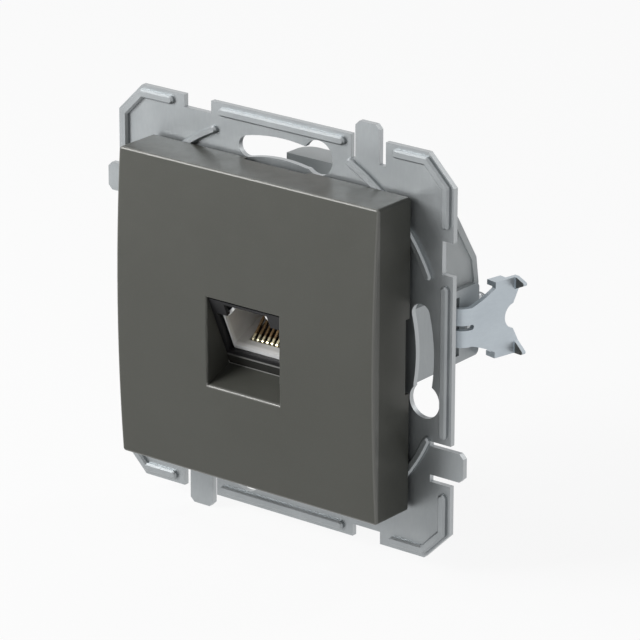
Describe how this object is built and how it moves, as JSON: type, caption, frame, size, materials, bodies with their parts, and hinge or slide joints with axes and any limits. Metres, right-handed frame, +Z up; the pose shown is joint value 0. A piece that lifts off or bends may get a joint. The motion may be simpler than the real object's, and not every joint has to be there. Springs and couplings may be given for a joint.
{
  "type": "ethernet wall socket",
  "caption": "Flush wall data socket with a domed square cover, a tilted shielded jack, a pressed steel support frame and spreading box claws.",
  "frame": {"origin": "centre of the support frame's back face, in the plane of the wall, on the axis of the circle of box screws", "axes": "+Z up, +X to the right seen from the front, +Y into the wall"},
  "size_m": [0.0762, 0.0397, 0.0762],
  "materials": {
    "cover_graphite": "satin moulded graphite plastic",
    "zinc_steel": "zinc plated pressed sheet",
    "claw_steel": "bright zinc plated sheet",
    "screw_steel": "zinc plated",
    "insert_black": "satin black plastic",
    "housing_grey": "matt grey plastic",
    "carrier_grey": "dark grey plastic",
    "shield_tin": "tin plated sheet",
    "contact_gold": "gold plated wire",
    "board_green": "green solder resist",
    "terminal_white": "natural white plastic"
  },
  "bodies": {
    "root": {"cover_plate": "cover_graphite", "support_frame": "zinc_steel", "jack_bezel": "insert_black", "rear_housing": "housing_grey", "jack_shield": "shield_tin", "jack_body": "insert_black", "contact_carrier": "carrier_grey", "contact_1": "contact_gold", "contact_2": "contact_gold", "contact_3": "contact_gold", "contact_4": "contact_gold", "contact_5": "contact_gold", "contact_6": "contact_gold", "contact_7": "contact_gold", "contact_8": "contact_gold", "circuit_board": "board_green", "idc_block_left": "terminal_white", "idc_block_right": "terminal_white", "idc_blades": "shield_tin", "wire_cap": "terminal_white", "rear_shield": "shield_tin"},
    "screw_right": {"claw_screw_right": "screw_steel"},
    "nut_right": {"claw_nut_right": "screw_steel"},
    "claw_right_body": {"claw_right": "claw_steel"},
    "screw_left": {"claw_screw_left": "screw_steel"},
    "nut_left": {"claw_nut_left": "screw_steel"},
    "claw_left_body": {"claw_left": "claw_steel"}
  },
  "joints": [
    {"name": "nut_right_travel", "type": "slide", "parent": "root", "child": "nut_right", "axis": [0, -1, 0], "range_m": [-0.0015, 0.0025]},
    {"name": "screw_right_turn", "type": "hinge", "parent": "root", "child": "screw_right", "pos_m": [0.0205, 0.003, 0], "axis": [0, 1, 0], "range_deg": [-1100, 1820]},
    {"name": "claw_right_swing", "type": "hinge", "parent": "root", "child": "claw_right_body", "pos_m": [0.025, 0.01585, 0], "axis": [0, 0, -1], "range_deg": [-4.05, 6.65]},
    {"name": "nut_left_travel", "type": "slide", "parent": "root", "child": "nut_left", "axis": [0, -1, 0], "range_m": [-0.0015, 0.0025]},
    {"name": "screw_left_turn", "type": "hinge", "parent": "root", "child": "screw_left", "pos_m": [-0.0205, 0.003, 0], "axis": [0, 1, 0], "range_deg": [-1100, 1820]},
    {"name": "claw_left_swing", "type": "hinge", "parent": "root", "child": "claw_left_body", "pos_m": [-0.025, 0.01585, 0], "axis": [0, 0, 1], "range_deg": [-4.05, 6.65]}
  ],
  "couplings": [
    {"joint": "screw_right_turn", "follows": "nut_right_travel", "rad_per_m": 12566},
    {"joint": "claw_right_swing", "follows": "nut_right_travel", "rad_per_m": 45.379},
    {"joint": "screw_left_turn", "follows": "nut_left_travel", "rad_per_m": 12566},
    {"joint": "claw_left_swing", "follows": "nut_left_travel", "rad_per_m": 45.379}
  ]
}
